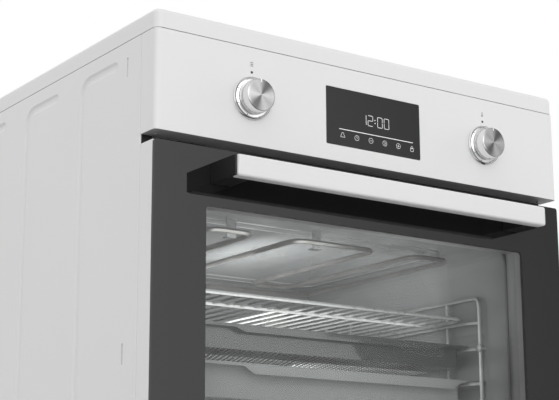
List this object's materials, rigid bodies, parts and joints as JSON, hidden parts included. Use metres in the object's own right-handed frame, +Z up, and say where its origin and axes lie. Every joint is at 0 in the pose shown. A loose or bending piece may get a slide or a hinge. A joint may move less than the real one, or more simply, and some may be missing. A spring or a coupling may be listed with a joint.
{
  "type": "freestanding electric oven",
  "caption": "White freestanding electric oven: full-width dark glass drop-down door with bar handle, chrome knobs and touch clock, flat glass hob, ribbed steel sides and a storage drawer.",
  "frame": {"origin": "on the floor under the middle of the box around the whole object", "axes": "+Z up, front towards -Y, +X to the right of someone facing the front"},
  "size_m": [0.6, 0.652, 0.85],
  "materials": {
    "white_enamel": "glossy white stove enamel on pressed steel",
    "black_enamel": "semi-gloss black enamel",
    "grey_enamel": "easy-clean grey oven enamel",
    "black_glass": "tinted black toughened glass",
    "hob_ceramic": "opaque black glass ceramic",
    "clear_glass": "clear toughened glass",
    "lamp_glass": "frosted lamp cover",
    "galvanised": "zinc-coated sheet steel",
    "chrome": "bright chrome",
    "element_steel": "heat-darkened steel sheath",
    "black_plastic": "black moulded plastic",
    "grey_plastic": "dark grey moulded plastic",
    "heater_board": "pressed insulating board",
    "dark_trim": "dark grey painted steel",
    "wool": "mineral wool blanket",
    "seal": "woven glass-fibre seal"
  },
  "bodies": {
    "cabinet": {"side_panel_left": "white_enamel", "side_panel_right": "white_enamel", "rear_panel": "galvanised", "terminal_box": "black_plastic", "base_tray": "galvanised", "foot_front_left": "black_plastic", "foot_front_right": "black_plastic", "foot_rear_left": "black_plastic", "foot_rear_right": "black_plastic", "plinth_front": "white_enamel", "hob_frame": "white_enamel", "hob_glass": "hob_ceramic", "radiant_heater_front_left": "heater_board", "radiant_heater_front_right": "heater_board", "radiant_heater_rear_left": "heater_board", "radiant_heater_rear_right": "heater_board", "hob_undertray": "galvanised", "control_panel": "white_enamel", "display_glass": "black_glass", "timer_module": "black_plastic", "panel_lower_trim": "dark_trim", "knob_bezel_left": "chrome", "knob_bezel_right": "chrome", "function_switch": "grey_plastic", "thermostat_switch": "grey_plastic", "front_frame": "black_enamel", "oven_cavity": "grey_enamel", "insulation": "wool", "door_seal": "seal", "grill_element": "element_steel", "bottom_element": "element_steel", "ring_element": "element_steel", "fan_cover": "grey_enamel", "fan_motor": "galvanised", "oven_lamp": "lamp_glass", "side_rack_left": "chrome", "side_rack_right": "chrome", "hinge_arm_left": "galvanised", "hinge_arm_right": "galvanised", "drawer_runner_left": "galvanised", "drawer_runner_right": "galvanised"},
    "door": {"door_outer_glass": "black_glass", "door_middle_glass": "clear_glass", "door_inner_glass": "clear_glass", "door_frame": "black_enamel", "door_side_left": "white_enamel", "door_side_right": "white_enamel", "handle_bar": "white_enamel", "handle_bracket_left": "black_plastic", "handle_bracket_right": "black_plastic", "hinge_leaf_left": "galvanised", "hinge_leaf_right": "galvanised"},
    "drawer": {"drawer_front": "white_enamel", "drawer_box": "galvanised"},
    "left_knob": {"knob_left": "chrome"},
    "right_knob": {"knob_right": "chrome"},
    "fan": {"fan_impeller": "galvanised"},
    "shelf": {"wire_shelf": "chrome"},
    "upper_tray": {"baking_tray": "black_enamel"},
    "lower_tray": {"deep_tray": "grey_enamel"}
  },
  "joints": [
    {"name": "door_hinge", "type": "hinge", "parent": "cabinet", "child": "door", "pos_m": [0, -0.264, 0.229], "axis": [1, 0, 0], "range_deg": [0, 90], "stiffness_Nm_per_rad": 11, "springref_deg": -11.46},
    {"name": "drawer_slide", "type": "slide", "parent": "cabinet", "child": "drawer", "axis": [0, -1, 0], "range_m": [0, 0.36]},
    {"name": "left_knob_turn", "type": "hinge", "parent": "cabinet", "child": "left_knob", "pos_m": [-0.175, -0.274, 0.767], "axis": [0, 1, 0], "continuous": true},
    {"name": "right_knob_turn", "type": "hinge", "parent": "cabinet", "child": "right_knob", "pos_m": [0.175, -0.274, 0.767], "axis": [0, 1, 0], "range_deg": [0, 270]},
    {"name": "fan_spin", "type": "hinge", "parent": "cabinet", "child": "fan", "pos_m": [0, 0.171, 0.475], "axis": [0, 1, 0], "continuous": true},
    {"name": "shelf_slide", "type": "slide", "parent": "cabinet", "child": "shelf", "axis": [0, -1, 0], "range_m": [0, 0.045]},
    {"name": "upper_tray_slide", "type": "slide", "parent": "cabinet", "child": "upper_tray", "axis": [0, -1, 0], "range_m": [0, 0.045]},
    {"name": "lower_tray_slide", "type": "slide", "parent": "cabinet", "child": "lower_tray", "axis": [0, -1, 0], "range_m": [0, 0.045]}
  ]
}
